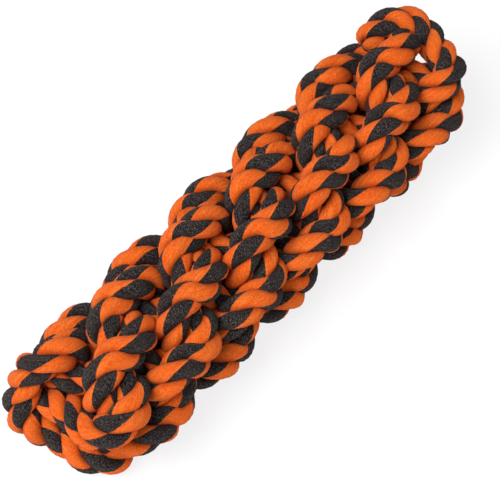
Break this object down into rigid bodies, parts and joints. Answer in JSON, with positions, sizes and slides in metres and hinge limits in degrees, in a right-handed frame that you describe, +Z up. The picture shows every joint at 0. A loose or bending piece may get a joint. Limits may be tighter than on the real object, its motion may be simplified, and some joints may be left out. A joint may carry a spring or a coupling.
{
  "type": "rope dog toy",
  "caption": "Thick stick of soft two-colour cotton rope, crowned layer upon layer, for a dog to carry, chew and tug.",
  "frame": {"origin": "middle of the box's underside, on the surface that the toy lies on", "axes": "+X along the stick towards its finished end, +Z up"},
  "size_m": [0.2654, 0.0714, 0.0703],
  "materials": {
    "rope": "matte cotton, orange and charcoal yarn in each ply"
  },
  "bodies": {
    "root": {"rope_first": "rope", "rope_second": "rope"}
  },
  "joints": []
}
